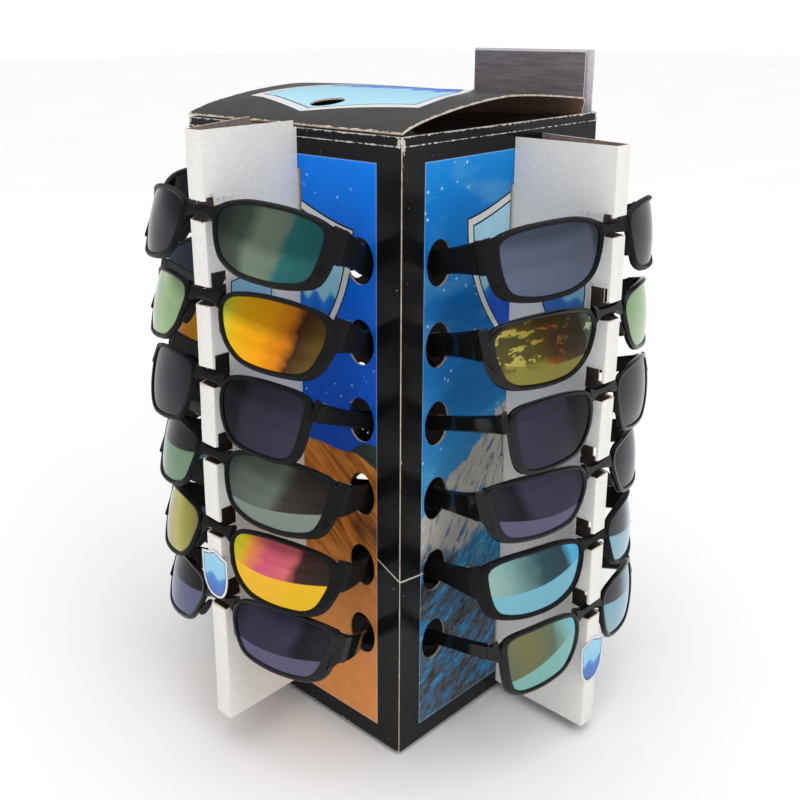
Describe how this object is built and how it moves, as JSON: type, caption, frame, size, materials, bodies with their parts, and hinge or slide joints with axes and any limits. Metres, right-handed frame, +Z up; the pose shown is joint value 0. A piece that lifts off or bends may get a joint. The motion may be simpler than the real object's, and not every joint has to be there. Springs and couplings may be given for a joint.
{
  "type": "countertop sunglasses display spinner",
  "caption": "Four-sided carton counter spinner: sunglasses straddle notched card fins with temples in oval holes, under an arched lid, on a ball-bearing turntable.",
  "frame": {"origin": "centre of the anti-slip pad's resting face on the table", "axes": "+Z up along the turning axis, +X and -Y outward normals of the hidden back right side and the right side of the carton"},
  "size_m": [0.305, 0.2964, 0.3827],
  "materials": {
    "printed_board": "gloss printed",
    "white_board": "uncoated white",
    "grey_board": "uncoated grey-brown",
    "matte_frame": "matte black",
    "gloss_frame": "gloss black",
    "badge_paper": "gloss printed",
    "steel": "plain",
    "rubber": "matte",
    "hardboard": "raw hardboard",
    "nylon": "natural"
  },
  "bodies": {
    "base": {"anti_slip_pad": "rubber", "base_plate": "hardboard", "lower_race": "steel", "pivot_pin": "steel", "pivot_washer": "steel", "push_nut": "steel"},
    "ball_cage": {"ball_cage": "nylon", "bearing_ball_1": "steel", "bearing_ball_2": "steel", "bearing_ball_3": "steel", "bearing_ball_4": "steel", "bearing_ball_5": "steel", "bearing_ball_6": "steel", "bearing_ball_7": "steel", "bearing_ball_8": "steel"},
    "column": {"upper_race": "steel", "rotor_plate": "hardboard", "floor_panel": "grey_board", "column_sleeve": "printed_board", "fin_right": "white_board", "fin_back_right": "white_board", "fin_back_left": "white_board", "fin_left": "white_board", "header_card": "grey_board", "fin_badge_right": "badge_paper", "fin_badge_back_right": "badge_paper", "fin_badge_back_left": "badge_paper", "fin_badge_left": "badge_paper", "spine_tag_right": "badge_paper", "spine_tag_back_right": "badge_paper", "spine_tag_back_left": "badge_paper", "spine_tag_left": "badge_paper"},
    "lid": {"lid": "printed_board"},
    "dust_flap_right": {"dust_flap_right": "printed_board"},
    "dust_flap_back_left": {"dust_flap_back_left": "printed_board"},
    "glasses_right_1": {"glasses_right_1": "matte_frame"},
    "glasses_right_2": {"glasses_right_2": "matte_frame"},
    "glasses_right_3": {"glasses_right_3": "gloss_frame"},
    "glasses_right_4": {"glasses_right_4": "gloss_frame"},
    "glasses_right_5": {"glasses_right_5": "gloss_frame"},
    "glasses_right_6": {"glasses_right_6": "matte_frame"},
    "glasses_back_right_1": {"glasses_back_right_1": "matte_frame"},
    "glasses_back_right_2": {"glasses_back_right_2": "gloss_frame"},
    "glasses_back_right_3": {"glasses_back_right_3": "matte_frame"},
    "glasses_back_right_4": {"glasses_back_right_4": "matte_frame"},
    "glasses_back_right_5": {"glasses_back_right_5": "gloss_frame"},
    "glasses_back_right_6": {"glasses_back_right_6": "matte_frame"},
    "glasses_back_left_1": {"glasses_back_left_1": "matte_frame"},
    "glasses_back_left_2": {"glasses_back_left_2": "gloss_frame"},
    "glasses_back_left_3": {"glasses_back_left_3": "matte_frame"},
    "glasses_back_left_4": {"glasses_back_left_4": "gloss_frame"},
    "glasses_back_left_5": {"glasses_back_left_5": "matte_frame"},
    "glasses_back_left_6": {"glasses_back_left_6": "matte_frame"},
    "glasses_left_1": {"glasses_left_1": "matte_frame"},
    "glasses_left_2": {"glasses_left_2": "matte_frame"},
    "glasses_left_3": {"glasses_left_3": "gloss_frame"},
    "glasses_left_4": {"glasses_left_4": "matte_frame"},
    "glasses_left_5": {"glasses_left_5": "matte_frame"},
    "glasses_left_6": {"glasses_left_6": "gloss_frame"}
  },
  "joints": [
    {"name": "column_turn", "type": "hinge", "parent": "base", "child": "column", "pos_m": [0, 0, 0.0112], "axis": [0, 0, 1], "continuous": true},
    {"name": "ball_cage_turn", "type": "hinge", "parent": "base", "child": "ball_cage", "pos_m": [0, 0, 0.0076], "axis": [0, 0, 1], "continuous": true},
    {"name": "lid_hinge", "type": "hinge", "parent": "column", "child": "lid", "pos_m": [-0.0838, 0, 0.35162], "axis": [0, -1, 0], "range_deg": [0, 85]},
    {"name": "dust_flap_right_hinge", "type": "hinge", "parent": "column", "child": "dust_flap_right", "pos_m": [0, -0.0823, 0.34982], "axis": [1, 0, 0], "range_deg": [0, 68]},
    {"name": "dust_flap_back_left_hinge", "type": "hinge", "parent": "column", "child": "dust_flap_back_left", "pos_m": [0, 0.0823, 0.34982], "axis": [-1, 0, 0], "range_deg": [0, 68]},
    {"name": "lift_off_right_1", "type": "slide", "parent": "column", "child": "glasses_right_1", "axis": [0, -0.9613, 0.2756], "range_m": [0, 0.16]},
    {"name": "lift_off_right_2", "type": "slide", "parent": "column", "child": "glasses_right_2", "axis": [0, -0.9613, 0.2756], "range_m": [0, 0.16]},
    {"name": "lift_off_right_3", "type": "slide", "parent": "column", "child": "glasses_right_3", "axis": [0, -0.9613, 0.2756], "range_m": [0, 0.16]},
    {"name": "lift_off_right_4", "type": "slide", "parent": "column", "child": "glasses_right_4", "axis": [0, -0.9613, 0.2756], "range_m": [0, 0.16]},
    {"name": "lift_off_right_5", "type": "slide", "parent": "column", "child": "glasses_right_5", "axis": [0, -0.9613, 0.2756], "range_m": [0, 0.16]},
    {"name": "lift_off_right_6", "type": "slide", "parent": "column", "child": "glasses_right_6", "axis": [0, -0.9613, 0.2756], "range_m": [0, 0.16]},
    {"name": "lift_off_back_right_1", "type": "slide", "parent": "column", "child": "glasses_back_right_1", "axis": [0.9063, 0, 0.4226], "range_m": [0, 0.16]},
    {"name": "lift_off_back_right_2", "type": "slide", "parent": "column", "child": "glasses_back_right_2", "axis": [0.9063, 0, 0.4226], "range_m": [0, 0.16]},
    {"name": "lift_off_back_right_3", "type": "slide", "parent": "column", "child": "glasses_back_right_3", "axis": [0.9063, 0, 0.4226], "range_m": [0, 0.16]},
    {"name": "lift_off_back_right_4", "type": "slide", "parent": "column", "child": "glasses_back_right_4", "axis": [0.9063, 0, 0.4226], "range_m": [0, 0.16]},
    {"name": "lift_off_back_right_5", "type": "slide", "parent": "column", "child": "glasses_back_right_5", "axis": [0.9063, 0, 0.4226], "range_m": [0, 0.16]},
    {"name": "lift_off_back_right_6", "type": "slide", "parent": "column", "child": "glasses_back_right_6", "axis": [0.9063, 0, 0.4226], "range_m": [0, 0.16]},
    {"name": "lift_off_back_left_1", "type": "slide", "parent": "column", "child": "glasses_back_left_1", "axis": [0, 0.9613, 0.2756], "range_m": [0, 0.16]},
    {"name": "lift_off_back_left_2", "type": "slide", "parent": "column", "child": "glasses_back_left_2", "axis": [0, 0.9613, 0.2756], "range_m": [0, 0.16]},
    {"name": "lift_off_back_left_3", "type": "slide", "parent": "column", "child": "glasses_back_left_3", "axis": [0, 0.9613, 0.2756], "range_m": [0, 0.16]},
    {"name": "lift_off_back_left_4", "type": "slide", "parent": "column", "child": "glasses_back_left_4", "axis": [0, 0.9613, 0.2756], "range_m": [0, 0.16]},
    {"name": "lift_off_back_left_5", "type": "slide", "parent": "column", "child": "glasses_back_left_5", "axis": [0, 0.9613, 0.2756], "range_m": [0, 0.16]},
    {"name": "lift_off_back_left_6", "type": "slide", "parent": "column", "child": "glasses_back_left_6", "axis": [0, 0.9613, 0.2756], "range_m": [0, 0.16]},
    {"name": "lift_off_left_1", "type": "slide", "parent": "column", "child": "glasses_left_1", "axis": [-0.9063, 0, 0.4226], "range_m": [0, 0.16]},
    {"name": "lift_off_left_2", "type": "slide", "parent": "column", "child": "glasses_left_2", "axis": [-0.9063, 0, 0.4226], "range_m": [0, 0.16]},
    {"name": "lift_off_left_3", "type": "slide", "parent": "column", "child": "glasses_left_3", "axis": [-0.9063, 0, 0.4226], "range_m": [0, 0.16]},
    {"name": "lift_off_left_4", "type": "slide", "parent": "column", "child": "glasses_left_4", "axis": [-0.9063, 0, 0.4226], "range_m": [0, 0.16]},
    {"name": "lift_off_left_5", "type": "slide", "parent": "column", "child": "glasses_left_5", "axis": [-0.9063, 0, 0.4226], "range_m": [0, 0.16]},
    {"name": "lift_off_left_6", "type": "slide", "parent": "column", "child": "glasses_left_6", "axis": [-0.9063, 0, 0.4226], "range_m": [0, 0.16]}
  ],
  "couplings": [
    {"joint": "ball_cage_turn", "follows": "column_turn", "ratio": 0.5},
    {"joint": "dust_flap_right_hinge", "follows": "lid_hinge", "ratio": 0.8},
    {"joint": "dust_flap_back_left_hinge", "follows": "lid_hinge", "ratio": 0.8}
  ]
}
